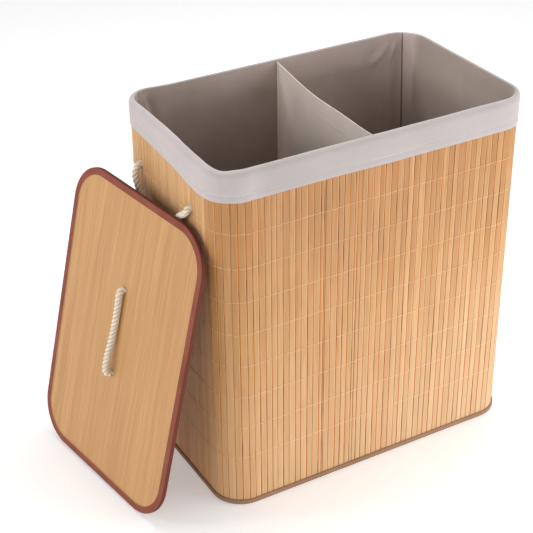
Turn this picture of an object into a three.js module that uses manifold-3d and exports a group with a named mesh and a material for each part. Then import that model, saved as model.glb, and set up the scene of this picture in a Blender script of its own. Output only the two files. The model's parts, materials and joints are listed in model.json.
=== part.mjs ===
// A rectangular laundry hamper with two bins. Mats of upright bamboo slats make the walls, a cloth bag with
// a divider hangs inside from a wire hoop, and the bag's cuff is turned over the rim. Each end has a rope
// handle. The lid, a veneered board with a bound edge and a rope handle, is off and leans at the left end.
// Millimetres. X runs along the hamper, Y from its front to its back and Z up. The origin is the middle of
// the underside of its base.

import * as THREE from 'three';
import { mergeVertices } from 'three/addons/utils/BufferGeometryUtils.js';
import Module from 'manifold-3d';

// The hamper over its slats, and its height over the cuff's rim
const bodyLength = 550;
const bodyDepth = 330;
const bodyHeight = 600;
const cornerRadius = 50;

// The gap between pieces that touch, and how far a cutter runs past what it cuts
const seatGap = 0.3;
const cutOverrun = 5;

// Slat mats
const slatPitch = 10.5;
const slatGap = 0.9;
const slatThickness = 1.8;
const slatBevel = 0.5;
const backingThickness = 0.6;

// Rows of twine that hold the slats: the lowest row's height, and the top row's drop below the cuff
const twineRowCount = 8;
const twineFirstHeight = 95.5;
const twineTopDrop = 51.5;
const twineHeight = 1;
const twineThickness = 0.7;

// The bag and its cuff
const clothThickness = 1.2;
const cuffDepth = 50;
const cuffInnerDepth = 45;
const rimWidth = 9;
const hoopWireDiameter = 3;
const bagEndInset = 15;
const bagSlopeDepth = 30;
const matTopDrop = 4;
const dividerThickness = 2;
const dividerDrop = 3;
const dividerSag = 7;
const dividerShift = -4.8;
const dividerTurnDegrees = -3.55;

// The base
const bindingHeight = 8.5;
const bindingThickness = 1;
const baseCoverThickness = 1;
const baseBoardThickness = 3.5;

// Rope handles of the ends: their holes lie below the rim, and clear of the rounded corners
const ropeDiameter = 11;
const ropeHoleClearance = 0.7;
const handleCornerRoom = 31;
const handleHoleDrop = 90.5;
const handleCentre = 12.6;
const knotDiameter = 19;
const knotLength = 10.5;
const knotGrooveDepth = 1.6;

// The lid
const lidLength = 500;
const lidDepth = 345;
const lidCornerRadius = 68;
const lidCoreThickness = 4.6;
const lidVeneerThickness = 0.7;
const lidBindingThickness = 0.9;
const lidBindingWidth = 11.8;
const lidEdgeRounding = 1.8;
const lidHoleSpacing = 148;
const lidHandleOffset = 13.2;
const lidHandleShift = 6.5;

// How the lid leans: its lean from upright, its turn about Z, its roll in its own plane, how far its middle
// lies behind the hamper's, and the room between its upper edge and the rope handle behind it
const lidLeanDegrees = 13.15;
const lidTurnDegrees = 8.95;
const lidRollDegrees = -1.2;
const lidCentre = 29.6;
const lidRopeRoom = 0.6;

// Facets of the round forms
const lidCornerFacets = 9;
const rimFacets = 6;
const wireFacets = 8;
const ropeFacets = 10;
const ropeSteps = 26;
const knotFacets = 10;
const knotSteps = 8;
const knotWraps = 2;

// The ropes' routes, by hand. A side rope's points give the way out from the slats' faces, along the end
// from the handle's middle, and up from the holes. The lid's give the way along it and out from its veneer.
const rightRopeRoute = [
  [6.1, -84, 0], [7.3, -83.7, -5], [12, -81.8, -15], [11.7, -74, -33], [8.8, -60, -53], [7.5, -40, -69],
  [7.3, -16, -78], [7.3, 16, -78], [7.5, 40, -69], [8.8, 60, -53], [11.7, 74, -33], [12, 81.8, -15],
  [7.3, 83.7, -5], [6.1, 84, 0],
];
const leftRopeRoute = [
  [6.1, -84, 0], [6.7, -82.2, -5], [7.1, -75.5, -12], [5.9, -58, -24], [5.9, -46, -35], [6.6, -34, -49],
  [7.3, -17, -66], [7.3, 4, -77], [7.5, 28, -77], [8, 50, -63], [9, 66, -47], [11.5, 76, -31],
  [12, 82, -15], [7.3, 83.7, -5], [6.1, 84, 0],
];
const lidRopeRoute = [
  [74, 0.3], [73.9, 2.3], [72.9, 4.8], [70.4, 6.9], [66.5, 7.6], [58, 7.2], [42, 6.8], [20, 6.8], [0, 7.4],
  [-18, 8.8], [-34, 10.7], [-48, 12], [-59, 12], [-67.5, 10.9], [-72.3, 7.6], [-73.8, 3.6], [-74, 0.3],
];

const quarterTurn = Math.PI / 2;
const wallThickness = slatThickness + backingThickness;
const ropeRadius = ropeDiameter / 2;
const ropeHoleRadius = ropeRadius + ropeHoleClearance;
const lidLean = THREE.MathUtils.degToRad(lidLeanDegrees);
const lidTurn = THREE.MathUtils.degToRad(lidTurnDegrees);
const lidRoll = THREE.MathUtils.degToRad(lidRollDegrees);
const dividerTurn = THREE.MathUtils.degToRad(dividerTurnDegrees);

const halfLength = bodyLength / 2;
const halfDepth = bodyDepth / 2;
const flatLength = bodyLength - 2 * cornerRadius;
const flatDepth = bodyDepth - 2 * cornerRadius;
const cornerSlats = Math.round((cornerRadius * quarterTurn) / slatPitch);
const handleHoleSpacing = flatDepth - 2 * handleCornerRoom;

// Offsets from the slats' outer faces, outward positive
const backingFace = -wallThickness;
const cuffOuter = seatGap + clothThickness;
const cuffInner = cuffOuter - rimWidth;
const bagOuter = cuffInner + clothThickness;
const bindingInner = backingFace - seatGap - bindingThickness;
const boardEdge = bindingInner - seatGap;

// Heights
const bindingFoot = seatGap;
const matFoot = bindingFoot + bindingThickness + seatGap;
const matTop = bodyHeight - matTopDrop;
const boardFoot = baseCoverThickness + seatGap;
const boardTop = boardFoot + baseBoardThickness;
const bagFoot = boardTop + seatGap;
const bagTop = bodyHeight - cuffInnerDepth - seatGap;
const bagFloorTop = bagFoot + clothThickness;
const handleHoleHeight = bodyHeight - handleHoleDrop;
const twineTopHeight = bodyHeight - cuffDepth - twineTopDrop;
const twineSpacing = (twineTopHeight - twineFirstHeight) / (twineRowCount - 1);

// The lid's layers, up from its back face
const lidInside = lidBindingThickness + seatGap;
const lidCoreFoot = lidInside + lidVeneerThickness + seatGap;
const lidVeneerFoot = lidCoreFoot + lidCoreThickness + seatGap;
const lidVeneerTop = lidVeneerFoot + lidVeneerThickness;
const lidThickness = lidVeneerTop + lidInside;

const wasm = await Module();
wasm.setup();

function toSolid(geometry) {
  const plain = geometry.clone();
  plain.deleteAttribute('normal');
  plain.deleteAttribute('uv');
  const merged = mergeVertices(plain);
  const mesh = new wasm.Mesh({
    numProp: 3,
    vertProperties: new Float32Array(merged.attributes.position.array),
    triVerts: new Uint32Array(merged.index.array),
  });
  return new wasm.Manifold(mesh);
}

function toGeometry(solid) {
  const mesh = solid.getMesh();
  const geometry = new THREE.BufferGeometry();
  geometry.setAttribute('position', new THREE.Float32BufferAttribute(mesh.vertProperties, 3));
  geometry.setIndex([...mesh.triVerts]);
  geometry.computeVertexNormals();
  return geometry;
}

// The same surface with its faces turned outward
function facingOut(geometry) {
  const position = geometry.attributes.position;
  const index = [...geometry.index.array];
  const corners = [new THREE.Vector3(), new THREE.Vector3(), new THREE.Vector3()];
  let volume = 0;
  for (let face = 0; face < index.length; face += 3) {
    corners.forEach((corner, k) => corner.fromBufferAttribute(position, index[face + k]));
    volume += corners[0].dot(corners[1].clone().cross(corners[2]));
  }
  if (volume < 0) {
    geometry.setIndex(index.reverse());
  }
  geometry.computeVertexNormals();
  return geometry;
}

// A rounded rectangle seen from above. Each corner is a run of equal facets that lie on its radius, so that
// outlines with the same facets keep an even distance, and the corner's slats lie flat behind them.
function outline(length, depth, radius, facets) {
  const step = quarterTurn / facets;
  const points = [];
  for (let corner = 0; corner < 4; corner += 1) {
    const centreX = (corner % 3 === 0 ? 1 : -1) * (length / 2 - radius);
    const centreY = (corner < 2 ? 1 : -1) * (depth / 2 - radius);
    for (let edge = 0; edge <= facets; edge += 1) {
      const inward = edge === 0 ? step / 4 : edge === facets ? -step / 4 : 0;
      const reach = radius / Math.cos(inward === 0 ? step / 2 : step / 4);
      const angle = corner * quarterTurn + edge * step + inward;
      points.push(new THREE.Vector2(centreX + reach * Math.cos(angle), centreY + reach * Math.sin(angle)));
    }
  }
  return points;
}

// The hamper's outline, moved out by an offset, with its ends drawn in by an inset more
function bodyOutline(offset, endInset = 0) {
  const length = bodyLength + 2 * (offset - endInset);
  return outline(length, bodyDepth + 2 * offset, cornerRadius + offset, cornerSlats);
}

function lidOutline(offset) {
  return outline(lidLength + 2 * offset, lidDepth + 2 * offset, lidCornerRadius + offset, lidCornerFacets);
}

// A closed band, such as a cuff: each level is an outline at a height, and the last joins the first
function band(levels) {
  const around = levels[0].outline.length;
  const positions = [];
  for (const level of levels) {
    level.outline.forEach((point) => positions.push(point.x, point.y, level.height));
  }
  const index = [];
  for (let level = 0; level < levels.length; level += 1) {
    const next = (level + 1) % levels.length;
    for (let side = 0; side < around; side += 1) {
      const beside = (side + 1) % around;
      const low = [level * around + side, level * around + beside];
      const high = [next * around + side, next * around + beside];
      index.push(low[0], low[1], high[1], low[0], high[1], high[0]);
    }
  }
  const geometry = new THREE.BufferGeometry();
  geometry.setAttribute('position', new THREE.Float32BufferAttribute(positions, 3));
  geometry.setIndex(index);
  return facingOut(geometry);
}

// A band round the hamper whose section is a list of offsets and heights
function bodyBand(section) {
  return band(section.map(([offset, height]) => ({ outline: bodyOutline(offset), height })));
}

// A plate with the given outline, and holes along the given places, from its foot up
function plate(points, foot, thickness, holes = []) {
  const shape = new THREE.Shape(points);
  for (const hole of holes) {
    shape.holes.push(new THREE.Path(circle(ropeHoleRadius, ropeFacets, hole)));
  }
  const geometry = new THREE.ExtrudeGeometry(shape, { depth: thickness, bevelEnabled: false });
  return geometry.translate(0, 0, foot);
}

function circle(radius, sides, centre = new THREE.Vector2()) {
  return Array.from({ length: sides }, (_, side) => {
    const angle = (side / sides) * 4 * quarterTurn;
    return new THREE.Vector2(centre.x + radius * Math.cos(angle), centre.y + radius * Math.sin(angle));
  });
}

function arc(radius, centre, from, to, steps) {
  return Array.from({ length: steps + 1 }, (_, step) => {
    const angle = from + ((to - from) * step) / steps;
    return [centre[0] + radius * Math.cos(angle), centre[1] + radius * Math.sin(angle)];
  });
}

function addMesh(parent, name, geometry, finish) {
  const material = new THREE.MeshStandardMaterial(finish);
  const mesh = new THREE.Mesh(geometry, material);
  mesh.name = name;
  parent.add(mesh);
  return mesh;
}

const bamboo = { color: 0xd6aa78, roughness: 0.55, metalness: 0 };
const cuffCloth = { color: 0xd4cccc, roughness: 0.9, metalness: 0 };
const bagCloth = { color: 0x9c9088, roughness: 0.92, metalness: 0 };
const baseCloth = { color: 0x8c7664, roughness: 0.9, metalness: 0 };
const twineCotton = { color: 0xe2c697, roughness: 0.85, metalness: 0 };
const steelWire = { color: 0xa8a8a8, roughness: 0.35, metalness: 0.9 };
const fibreboard = { color: 0x9a7350, roughness: 0.85, metalness: 0 };
const ropeCotton = { color: 0xebe1cd, roughness: 0.9, metalness: 0 };
const veneer = { color: 0xd3a673, roughness: 0.5, metalness: 0 };
const leather = { color: 0x965546, roughness: 0.6, metalness: 0 };

// One slat's section, from its left foot on the cloth over its face to its right foot
function slatSection(width) {
  const side = width / 2;
  return [
    [-side, backingThickness],
    [-side, wallThickness - slatBevel],
    [-side + slatBevel, wallThickness],
    [side - slatBevel, wallThickness],
    [side, wallThickness - slatBevel],
    [side, backingThickness],
  ];
}

// A flat mat, with its cloth's inner side on the X axis and its slats toward +Y
function flatMat(length) {
  const count = Math.round(length / slatPitch);
  const pitch = length / count;
  const end = (length - seatGap) / 2;
  const points = [new THREE.Vector2(-end, 0), new THREE.Vector2(-end, backingThickness)];
  for (let slat = 0; slat < count; slat += 1) {
    const middle = (slat + 0.5) * pitch - length / 2;
    for (const [across, out] of slatSection(pitch - slatGap)) {
      points.push(new THREE.Vector2(middle + across, out));
    }
  }
  points.push(new THREE.Vector2(end, backingThickness), new THREE.Vector2(end, 0));
  return plate(points, matFoot, matTop - matFoot);
}

// The mat round one corner: its slats stay flat and turn like the staves of a tub
function cornerMat() {
  const step = quarterTurn / cornerSlats;
  const clothInner = cornerRadius - wallThickness;
  const clothOuter = clothInner + backingThickness;
  const endAngle = seatGap / 2 / clothInner;
  const width = step * clothOuter - slatGap;
  const onFacet = (radius, angle) => {
    const facet = Math.min(Math.floor(angle / step), cornerSlats - 1);
    const reach = radius / Math.cos(angle - (facet + 0.5) * step);
    return new THREE.Vector2(reach * Math.cos(angle), reach * Math.sin(angle));
  };
  const points = [onFacet(clothInner, endAngle), onFacet(clothOuter, endAngle)];
  for (let slat = 0; slat < cornerSlats; slat += 1) {
    const angle = (slat + 0.5) * step;
    const out = new THREE.Vector2(Math.cos(angle), Math.sin(angle));
    const along = new THREE.Vector2(-out.y, out.x);
    for (const [across, height] of slatSection(width)) {
      const point = out.clone().multiplyScalar(clothInner + height);
      points.push(point.addScaledVector(along, across));
    }
  }
  points.push(onFacet(clothOuter, quarterTurn - endAngle), onFacet(clothInner, quarterTurn - endAngle));
  for (let edge = cornerSlats - 1; edge > 0; edge -= 1) {
    const angle = edge * step;
    const reach = clothInner / Math.cos(step / 2);
    points.push(new THREE.Vector2(reach * Math.cos(angle), reach * Math.sin(angle)));
  }
  return plate(points, matFoot, matTop - matFoot);
}

// The mat with the rope's two holes drilled through it. side is 1 where the mat's X is the hamper's Y.
function drilled(mat, side) {
  let solid = toSolid(mat);
  for (const end of [-1, 1]) {
    const length = wallThickness + 2 * cutOverrun;
    const cutter = new THREE.CylinderGeometry(ropeHoleRadius, ropeHoleRadius, length, 2 * ropeFacets);
    cutter.translate(side * handleCentre + (end * handleHoleSpacing) / 2, 0, handleHoleHeight);
    solid = solid.subtract(toSolid(cutter));
  }
  return toGeometry(solid);
}

function addMats(parent) {
  const walls = [
    { name: 'slat_mat_back', turns: 0, length: flatLength, place: [0, halfDepth - wallThickness] },
    { name: 'slat_mat_left', turns: 1, length: flatDepth, place: [wallThickness - halfLength, 0], side: 1 },
    { name: 'slat_mat_front', turns: 2, length: flatLength, place: [0, wallThickness - halfDepth] },
    { name: 'slat_mat_right', turns: 3, length: flatDepth, place: [halfLength - wallThickness, 0], side: -1 },
  ];
  for (const wall of walls) {
    const mat = flatMat(wall.length);
    const mesh = addMesh(parent, wall.name, wall.side ? drilled(mat, wall.side) : mat, bamboo);
    mesh.position.set(wall.place[0], wall.place[1], 0);
    mesh.rotation.z = wall.turns * quarterTurn;
  }
  const corners = ['back_right', 'back_left', 'front_left', 'front_right'];
  corners.forEach((corner, turns) => {
    const mesh = addMesh(parent, `slat_mat_${corner}_corner`, cornerMat(), bamboo);
    const right = turns % 3 === 0 ? 1 : -1;
    const back = turns < 2 ? 1 : -1;
    mesh.position.set((right * flatLength) / 2, (back * flatDepth) / 2, 0);
    mesh.rotation.z = turns * quarterTurn;
  });
}

function addTwine(parent) {
  for (let row = 0; row < twineRowCount; row += 1) {
    const middle = twineFirstHeight + row * twineSpacing;
    const outer = seatGap + twineThickness;
    const geometry = bodyBand([
      [outer, middle - twineHeight / 2],
      [outer, middle + twineHeight / 2],
      [seatGap, middle + twineHeight / 2],
      [seatGap, middle - twineHeight / 2],
    ]);
    addMesh(parent, `twine_row_${row + 1}`, geometry, twineCotton);
  }
}

// The cuff is turned over the mats' upper edge and the hoop
function addCuff(parent) {
  const crown = [cuffOuter - rimWidth / 2, bodyHeight - rimWidth / 2];
  const section = [
    [cuffOuter, bodyHeight - cuffDepth],
    ...arc(rimWidth / 2, crown, 0, Math.PI, rimFacets),
    [cuffInner, bodyHeight - cuffInnerDepth],
    [bagOuter, bodyHeight - cuffInnerDepth],
    ...arc(rimWidth / 2 - clothThickness, crown, Math.PI, 0, rimFacets),
    [cuffOuter - clothThickness, bodyHeight - cuffDepth],
  ];
  addMesh(parent, 'bag_cuff', bodyBand(section), cuffCloth);

  const wireRadius = hoopWireDiameter / 2;
  const wireMiddle = [backingFace - seatGap - wireRadius, matTop - hoopWireDiameter];
  const wire = arc(wireRadius, wireMiddle, 0, 4 * quarterTurn, wireFacets).slice(1);
  addMesh(parent, 'rim_hoop', bodyBand(wire), steelWire);
}

// The bag hangs straight at the front and back. At the ends it hangs further in, past the ropes' knots. The
// divider is sewn in a little out of square.
function addBag(parent) {
  const slopeFoot = bagTop - bagSlopeDepth;
  const drawn = bagEndInset + bagOuter;
  const levels = [
    [bagOuter, 0, bagTop],
    [cuffInner, 0, bagTop],
    [cuffInner, drawn, slopeFoot],
    [cuffInner, drawn, bagFoot],
    [bagOuter, drawn, bagFoot],
    [bagOuter, drawn, slopeFoot],
  ];
  const rings = levels.map(([offset, inset, height]) => ({ outline: bodyOutline(offset, inset), height }));
  addMesh(parent, 'bag_wall', band(rings), bagCloth);

  const floorOutline = bodyOutline(cuffInner - seatGap, drawn);
  addMesh(parent, 'bag_floor', plate(floorOutline, bagFoot, clothThickness), bagCloth);

  const corner = (dividerThickness / 2) * Math.abs(Math.sin(dividerTurn));
  const side = (halfDepth + cuffInner - seatGap - corner) / Math.cos(dividerTurn);
  const foot = bagFloorTop + seatGap;
  const top = bodyHeight - dividerDrop;
  const panel = new THREE.Shape();
  panel.moveTo(-side, foot);
  panel.lineTo(side, foot);
  panel.lineTo(side, top);
  panel.quadraticCurveTo(0, top - 2 * dividerSag, -side, top);
  const geometry = new THREE.ExtrudeGeometry(panel, {
    depth: dividerThickness,
    bevelEnabled: false,
    curveSegments: lidCornerFacets,
  });
  const sewn = new THREE.Group();
  sewn.position.x = dividerShift;
  sewn.rotation.z = dividerTurn;
  parent.add(sewn);
  const divider = addMesh(sewn, 'bag_divider', geometry, bagCloth);
  divider.rotation.set(quarterTurn, quarterTurn, 0);
  divider.position.x = -dividerThickness / 2;
}

function addBase(parent) {
  const outer = seatGap + bindingThickness;
  const section = [
    [outer, bindingFoot],
    [outer, bindingFoot + bindingHeight],
    [seatGap, bindingFoot + bindingHeight],
    [seatGap, bindingFoot + bindingThickness],
    [backingFace - seatGap, bindingFoot + bindingThickness],
    [backingFace - seatGap, bindingFoot + bindingHeight],
    [bindingInner, bindingFoot + bindingHeight],
    [bindingInner, bindingFoot],
  ];
  addMesh(parent, 'bottom_binding', bodyBand(section), baseCloth);
  addMesh(parent, 'base_cover', plate(bodyOutline(boardEdge), 0, baseCoverThickness), baseCloth);
  addMesh(parent, 'base_board', plate(bodyOutline(boardEdge), boardFoot, baseBoardThickness), fibreboard);
}

// A rope's knotted end: the rope runs along -Y through a wall whose outer face is at zero, out to where it
// stands by the rope's free stretch, and the knot lies behind the wall
function knottedEnd(wall, stand) {
  const knotStart = wall + seatGap;
  const profile = [new THREE.Vector2(0, -stand), new THREE.Vector2(ropeRadius, -stand)];
  profile.push(new THREE.Vector2(ropeRadius, knotStart));
  for (let step = 0; step <= knotSteps; step += 1) {
    const share = step / knotSteps;
    const groove = (knotGrooveDepth * (1 + Math.cos(share * knotWraps * 4 * quarterTurn))) / 2;
    profile.push(new THREE.Vector2(knotDiameter / 2 - groove, knotStart + knotLength * share));
  }
  profile.push(new THREE.Vector2(0, knotStart + knotLength));
  const lathe = new THREE.LatheGeometry(profile, knotFacets);
  lathe.deleteAttribute('normal');
  lathe.deleteAttribute('uv');
  return facingOut(mergeVertices(lathe));
}

function ropeTube(points) {
  const path = new THREE.CatmullRomCurve3(points);
  const section = new THREE.Shape(circle(ropeRadius, ropeFacets));
  return new THREE.ExtrudeGeometry(section, { steps: ropeSteps, extrudePath: path, bevelEnabled: false });
}

// A side rope's route in place: out is 1 at the right end and -1 at the left
function ropePlaces(out, route) {
  const face = out * halfLength;
  return route.map(
    ([away, along, up]) => new THREE.Vector3(face + out * away, handleCentre + along, handleHoleHeight + up),
  );
}

function addSideHandle(parent, side, out, route) {
  addMesh(parent, `${side}_handle_rope`, ropeTube(ropePlaces(out, route)), ropeCotton);
  for (const end of [-1, 1]) {
    const name = `${side}_handle_knot_${end < 0 ? 'front' : 'back'}`;
    const knot = addMesh(parent, name, knottedEnd(wallThickness, seatGap), ropeCotton);
    knot.position.set(out * halfLength, handleCentre + (end * handleHoleSpacing) / 2, handleHoleHeight);
    knot.rotation.z = out * quarterTurn;
  }
}

// Where the middle of the lid's back lies. Its lowest point stands on the ground. It leans on the rope behind
// its upper edge, or else its corner leans on the wall.
function lidPlace(turned) {
  const round = lidEdgeRounding;
  const edge = [[-round, 0], [0, round], [0, lidThickness - round], [-round, lidThickness]].flatMap(
    ([offset, height]) => lidOutline(offset).map((point) => new THREE.Vector3(point.x, point.y, height)),
  );
  edge.forEach((point) => point.applyEuler(turned));
  const place = new THREE.Vector3(0, lidCentre, seatGap - Math.min(...edge.map((point) => point.z)));
  place.x = -halfLength - cuffOuter - seatGap - Math.max(...edge.map((point) => point.x));

  const out = new THREE.Vector3(0, 0, 1).applyEuler(turned);
  const top = place.z + Math.max(...edge.map((point) => point.z));
  const behind = ropePlaces(-1, leftRopeRoute).filter((point) => point.z < top);
  const nearest = Math.min(...behind.map((point) => place.clone().sub(point).dot(out)));
  const room = nearest - ropeRadius - lidRopeRoom;
  place.x = Math.min(place.x, place.x - room / out.x);
  return place;
}

// The lid lies in its own frame with its back down and its length along X
function addLid(parent) {
  const lean = new THREE.Matrix4().makeRotationY(lidLean - quarterTurn);
  const pose = new THREE.Matrix4().makeRotationZ(lidTurn).multiply(lean);
  pose.multiply(new THREE.Matrix4().makeRotationZ(lidRoll));
  const lid = new THREE.Group();
  lid.rotation.setFromRotationMatrix(pose);
  lid.position.copy(lidPlace(lid.rotation));
  parent.add(lid);

  const holes = [-1, 1].map((end) => {
    const along = lidHandleOffset + (end * lidHoleSpacing) / 2;
    return new THREE.Vector2(along, lidHandleShift);
  });
  const boardOutline = lidOutline(-lidInside);
  addMesh(lid, 'lid_core', plate(boardOutline, lidCoreFoot, lidCoreThickness, holes), fibreboard);
  addMesh(lid, 'lid_veneer', plate(boardOutline, lidVeneerFoot, lidVeneerThickness, holes), veneer);
  addMesh(lid, 'lid_back_sheet', plate(boardOutline, lidInside, lidVeneerThickness, holes), veneer);

  const round = lidEdgeRounding;
  const inside = -lidBindingThickness;
  const section = [
    [-lidBindingWidth, 0],
    ...arc(round, [-round, round], -quarterTurn, 0, 2),
    ...arc(round, [-round, lidThickness - round], 0, quarterTurn, 2),
    [-lidBindingWidth, lidThickness],
    [-lidBindingWidth, lidThickness - lidBindingThickness],
    [inside, lidThickness - lidBindingThickness],
    [inside, lidBindingThickness],
    [-lidBindingWidth, lidBindingThickness],
  ];
  const rings = section.map(([offset, height]) => ({ outline: lidOutline(offset), height }));
  addMesh(lid, 'lid_binding', band(rings), leather);

  const ropePoints = lidRopeRoute.map(
    ([along, out]) => new THREE.Vector3(lidHandleOffset + along, lidHandleShift, lidVeneerTop + out),
  );
  addMesh(lid, 'lid_handle_rope', ropeTube(ropePoints), ropeCotton);
  holes.forEach((hole, end) => {
    const stack = lidVeneerTop - lidInside;
    const knot = addMesh(lid, `lid_handle_knot_${end ? 'upper' : 'lower'}`, knottedEnd(stack, 0), ropeCotton);
    knot.position.set(hole.x, hole.y, lidVeneerTop);
    knot.rotation.x = -quarterTurn;
  });
}

const hamper = new THREE.Group();
addMats(hamper);
addTwine(hamper);
addCuff(hamper);
addBag(hamper);
addBase(hamper);
addSideHandle(hamper, 'left', -1, leftRopeRoute);
addSideHandle(hamper, 'right', 1, rightRopeRoute);
addLid(hamper);

export default hamper;
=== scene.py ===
# The looks of a laundry hamper with two bins: bamboo slats held by rows of twine, a cloth bag with a divider
# and a turned-over cuff, twisted rope handles, and a veneered lid with a bound edge that leans at its left end.
# Metres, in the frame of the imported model, with +Z up.

import json
import math
import random

import bmesh
import bpy
import numpy as np
from mathutils import Matrix, Vector, noise


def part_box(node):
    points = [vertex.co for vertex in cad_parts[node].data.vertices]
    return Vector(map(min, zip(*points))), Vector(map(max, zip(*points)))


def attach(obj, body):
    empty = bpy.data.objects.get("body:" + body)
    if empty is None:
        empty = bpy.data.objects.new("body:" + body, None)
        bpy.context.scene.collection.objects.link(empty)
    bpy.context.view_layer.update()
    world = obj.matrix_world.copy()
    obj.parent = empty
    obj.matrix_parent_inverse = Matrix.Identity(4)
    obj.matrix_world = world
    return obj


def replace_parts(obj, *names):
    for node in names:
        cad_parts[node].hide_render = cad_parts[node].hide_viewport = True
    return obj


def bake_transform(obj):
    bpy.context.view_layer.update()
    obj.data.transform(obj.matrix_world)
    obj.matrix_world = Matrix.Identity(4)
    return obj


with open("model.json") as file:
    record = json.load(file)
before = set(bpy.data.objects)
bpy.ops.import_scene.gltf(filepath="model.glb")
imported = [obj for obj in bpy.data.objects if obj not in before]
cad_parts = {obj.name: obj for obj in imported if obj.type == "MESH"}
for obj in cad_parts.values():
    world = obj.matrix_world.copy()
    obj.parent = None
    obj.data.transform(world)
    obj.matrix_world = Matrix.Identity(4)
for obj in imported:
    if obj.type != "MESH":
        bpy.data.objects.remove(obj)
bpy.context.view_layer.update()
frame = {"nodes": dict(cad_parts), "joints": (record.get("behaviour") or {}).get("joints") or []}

# The hamper's own sizes, from the frame
HALF_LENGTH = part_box("slat_mat_right")[1].x
HALF_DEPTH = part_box("slat_mat_back")[1].y
WALL_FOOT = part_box("slat_mat_front")[0].z
SLAT_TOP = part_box("slat_mat_front")[1].z - 0.0025
CUFF_FOOT, RIM_HEIGHT = (corner.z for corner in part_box("bag_cuff"))
BAG_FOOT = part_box("bag_wall")[0].z
BAG_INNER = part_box("bag_floor")[1].y - HALF_DEPTH
CORNER_RADIUS = 0.05

# Slats and twine
FLAT_SLATS = (43, 22)
CORNER_SLATS = 7
SLAT_THICKNESS = 0.0018
SLAT_GAP = 0.0007
SLAT_BEVEL = 0.0004
SLAT_CROWN = 0.00012
SLAT_LEVELS = 26
BACKING_THICKNESS = 0.0006
TWINE_RADIUS = 0.00034
TWINE_ROWS = 8
TWINE_DIP = 0.0009
TWINE_SIDES = 6
SLAT_BOW = 0.00012
SPLIT_CHANCE = 0.07
WALLS = (
    "slat_mat_front", "slat_mat_front_right_corner", "slat_mat_right", "slat_mat_back_right_corner",
    "slat_mat_back", "slat_mat_back_left_corner", "slat_mat_left", "slat_mat_front_left_corner",
)
HOLED_WALLS = {"slat_mat_left": (-1,), "slat_mat_right": (1,)}

# How the slats look in front and elsewhere: their tone, how much paler their feet are painted as painted light, and
# how strongly their edges are marked, partly scorched and partly painted shade and highlight
FRONT_LOOK = (0.33, 0.57, 1.0)
OTHER_LOOK = (0.50, 0.0, 0.55)

# A twine's way over one slat: share of its width, and distance out
TWINE_WAVE = ((0.0, -TWINE_DIP), (0.16, TWINE_RADIUS * 0.6), (0.5, TWINE_RADIUS), (0.84, TWINE_RADIUS * 0.6))

# Cloth
CLOTH_THICKNESS = 0.0010
DIVIDER_THICKNESS = 0.0016
BINDING_THICKNESS = 0.0006
STITCH_LENGTH = 0.0031
STITCH_PITCH = 0.0037
STITCH_RADIUS = 0.00038
CUFF_STITCH_DROP = 0.0124
BAG_OUTER_LIMIT = -0.0040
DIVIDER_HEM = 0.030
DIVIDER_SAG = 0.007
DIVIDER_HEM_DROPS = (0.0, 0.0005, 0.0015, 0.003, 0.006, 0.012, 0.020, 0.0270, 0.0288, 0.0300, 0.0312, 0.033)

# The cuff's profile and the foot binding's: distance out of the slats, and rise from the foot or drop from the top
CUFF_FROM_FOOT = (
    (0.0004, 0.0), (0.0012, 0.0004), (0.0017, 0.0020), (0.0018, 0.0060), (0.0017, 0.0100), (0.0013, 0.0120),
    (0.0013, 0.0128), (0.0016, 0.0145), (0.0016, 0.019), (0.0017, 0.025), (0.0017, 0.032), (0.0017, 0.038),
)
CUFF_FROM_RIM = (
    (0.0015, 0.0060), (0.0011, 0.0038), (0.0003, 0.0022), (-0.0012, 0.0012), (-0.0032, 0.0007), (-0.0050, 0.0003),
    (-0.0061, 0.0), (-0.0068, 0.0003), (-0.0071, 0.0011), (-0.0071, 0.0030),
)
BINDING_FROM_FOOT = ((-0.0022, 0.0006), (0.0004, 0.0005), (0.0012, 0.0008), (0.0015, 0.0018), (0.0016, 0.0045))
BINDING_FROM_TOP = (
    (0.0013, 0.0026), (0.0010, 0.0020), (0.0013, 0.0013), (0.0014, 0.0004), (0.0008, 0.0), (0.0003, 0.0002),
)

# How far the rim stands above its mean, and how far the cuff's hem is drawn up, by the way round
RIM_RISE = (
    (0.0, 0.0004), (0.30, 0.0), (1.24, 0.0), (1.33, 0.0038), (1.39, 0.0052), (1.46, 0.0048), (1.50, 0.0032),
    (1.53, 0.0004), (1.56, -0.0010), (1.60, -0.0014), (1.628, -0.0034), (1.655, -0.0004), (1.68, 0.0004),
)
HEM_RISE = (
    (0.0, 0.0013), (0.13, 0.0015), (0.25, 0.0), (0.84, 0.0), (1.24, 0.0040), (1.33, 0.0108), (1.366, 0.0114),
    (1.40, 0.0092), (1.45, 0.0068), (1.50, 0.0034), (1.55, -0.0036), (1.575, -0.0052), (1.60, -0.0028),
    (1.65, 0.0), (1.68, 0.0013),
)

# Folds of the bag's wall: both ends as (x of the back wall, height), half width, and depth, inward positive. The
# right end's are measured from its middle.
BACK_FOLDS = (
    ((0.2480, 0.596), (0.2350, 0.570), 0.0042, 0.0090),
    ((0.2360, 0.588), (0.200, 0.560), 0.0042, 0.0080),
    ((0.2310, 0.540), (0.234, 0.350), 0.0130, 0.0042),
    ((0.1560, 0.550), (0.150, 0.350), 0.0220, 0.0030),
    ((-0.246, 0.597), (-0.228, 0.545), 0.0055, 0.0060),
    ((-0.234, 0.590), (-0.214, 0.470), 0.0110, -0.0048),
    ((-0.120, 0.560), (-0.105, 0.300), 0.0300, -0.0022),
    ((0.080, 0.550), (0.070, 0.300), 0.0300, 0.0020),
)
END_FOLDS = (
    ((-0.030, 0.55), (-0.040, 0.20), 0.030, -0.0022),
    ((0.006, 0.557), (-0.008, 0.515), 0.0016, -0.0007),
)
SEAM_X = 0.2483
SEAM_LEAN = 0.023

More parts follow.
